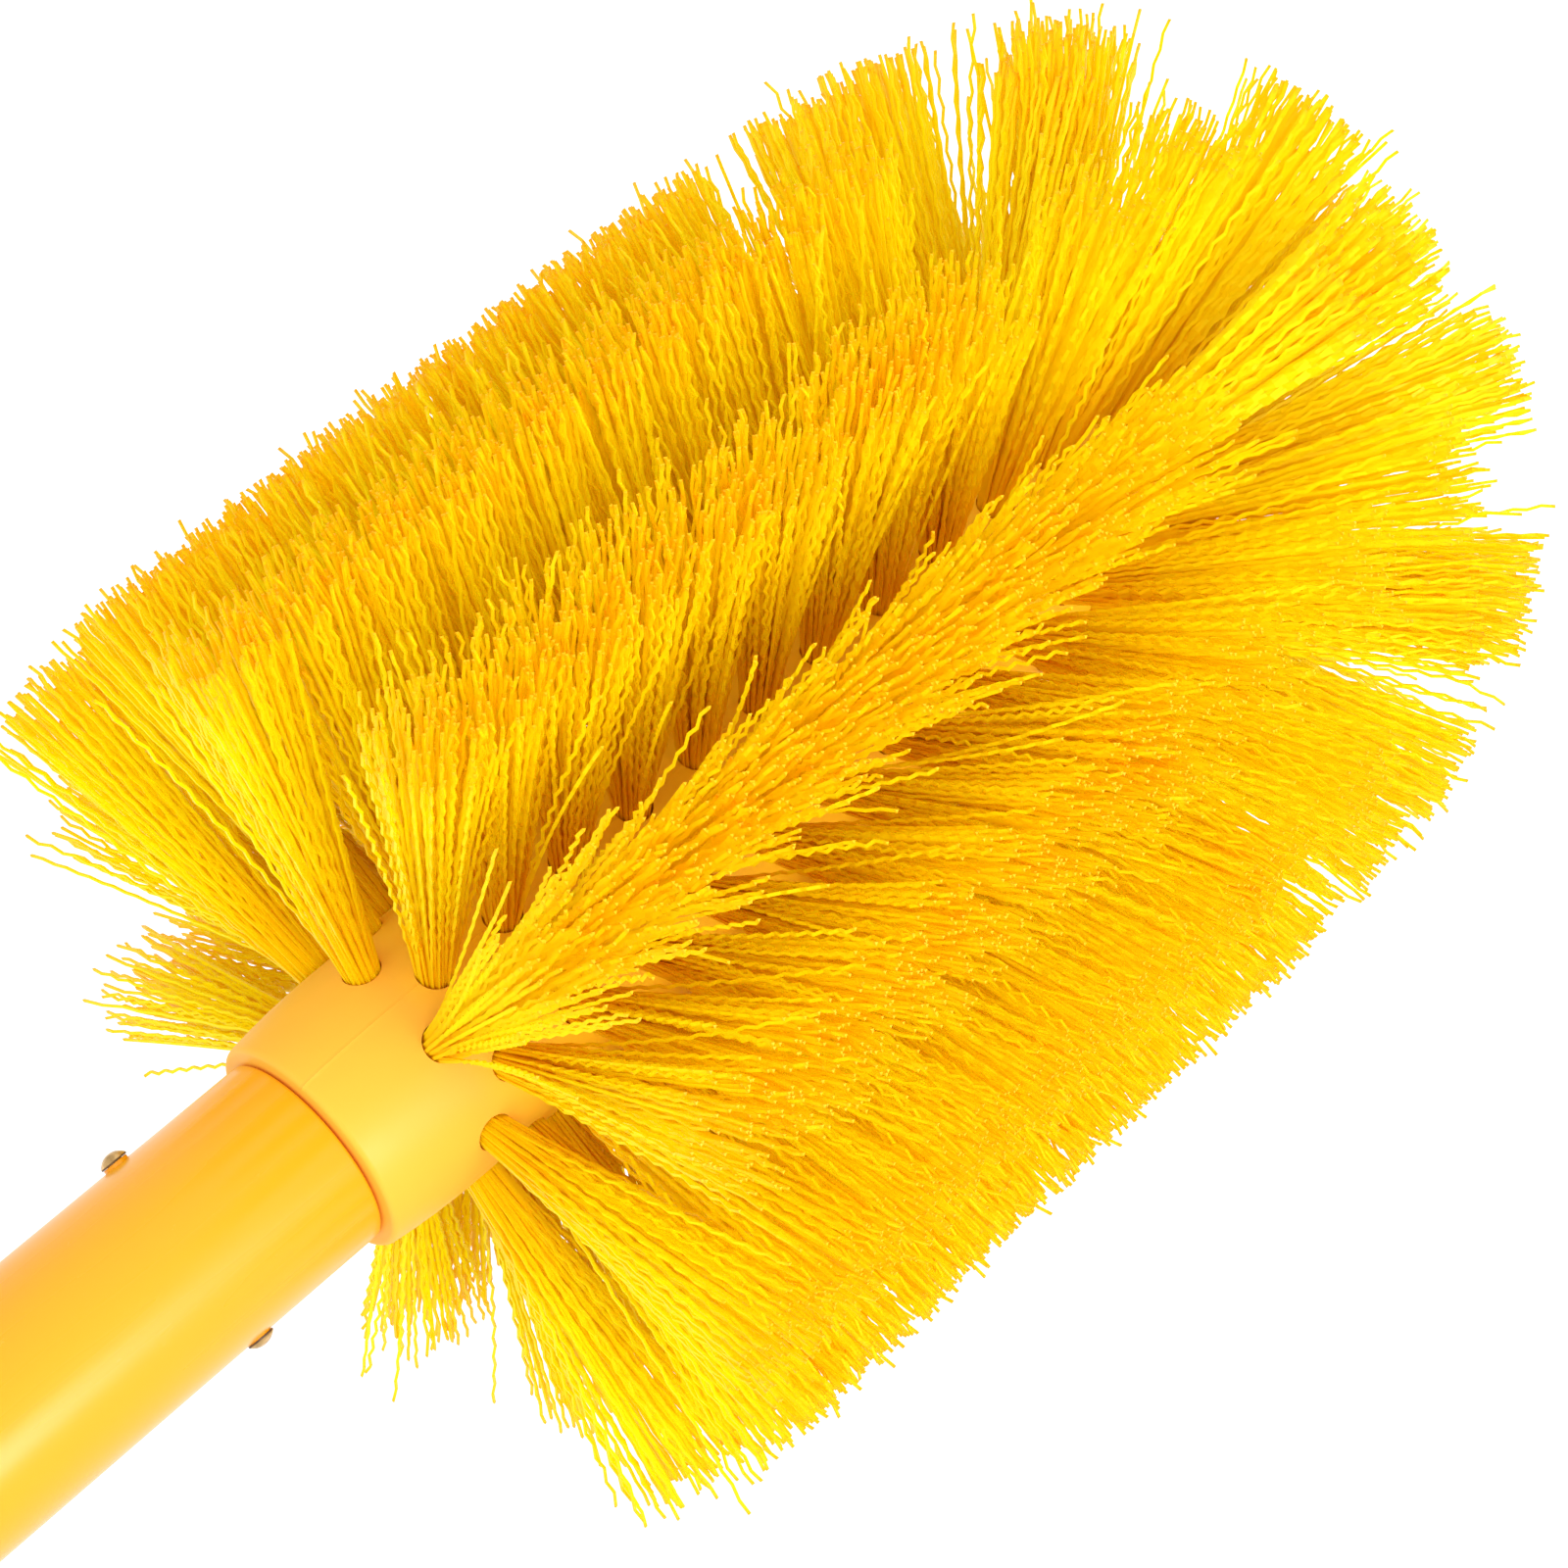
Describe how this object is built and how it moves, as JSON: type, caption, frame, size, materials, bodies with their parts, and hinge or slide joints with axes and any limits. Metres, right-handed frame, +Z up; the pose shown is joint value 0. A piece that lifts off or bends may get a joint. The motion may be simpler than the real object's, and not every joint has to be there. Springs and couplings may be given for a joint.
{
  "type": "tank brush",
  "caption": "Round tank brush: crimped bristle tufts radiate from a straight block with a rounded front, pinned into a long tube handle with a hang hole.",
  "frame": {"origin": "middle of the hang hole in the end cap", "axes": "+Z runs up the handle, away from the bristle head; the two handle pins lie along X; the first tuft row faces -Y"},
  "size_m": [0.1256, 0.127, 0.762],
  "materials": {
    "block_plastic": "satin moulded pale yellow plastic",
    "tube_plastic": "smooth glossy orange-yellow plastic",
    "cap_plastic": "smooth orange-yellow plastic",
    "pin_brass": "polished brass with a slight tarnish",
    "bristle_polyester": "bright yellow crimped polyester strands, slightly translucent"
  },
  "bodies": {
    "root": {"brush_block": "block_plastic", "handle_tube": "tube_plastic", "hang_cap": "cap_plastic", "tube_pin_left": "pin_brass", "tube_pin_right": "pin_brass", "nose_tufts": "bristle_polyester", "tuft_row_01": "bristle_polyester", "tuft_row_02": "bristle_polyester", "tuft_row_03": "bristle_polyester", "tuft_row_04": "bristle_polyester", "tuft_row_05": "bristle_polyester", "tuft_row_06": "bristle_polyester", "tuft_row_07": "bristle_polyester", "tuft_row_08": "bristle_polyester", "tuft_row_09": "bristle_polyester", "tuft_row_10": "bristle_polyester", "tuft_row_11": "bristle_polyester", "tuft_row_12": "bristle_polyester", "tuft_row_13": "bristle_polyester", "tuft_row_14": "bristle_polyester"}
  },
  "joints": []
}
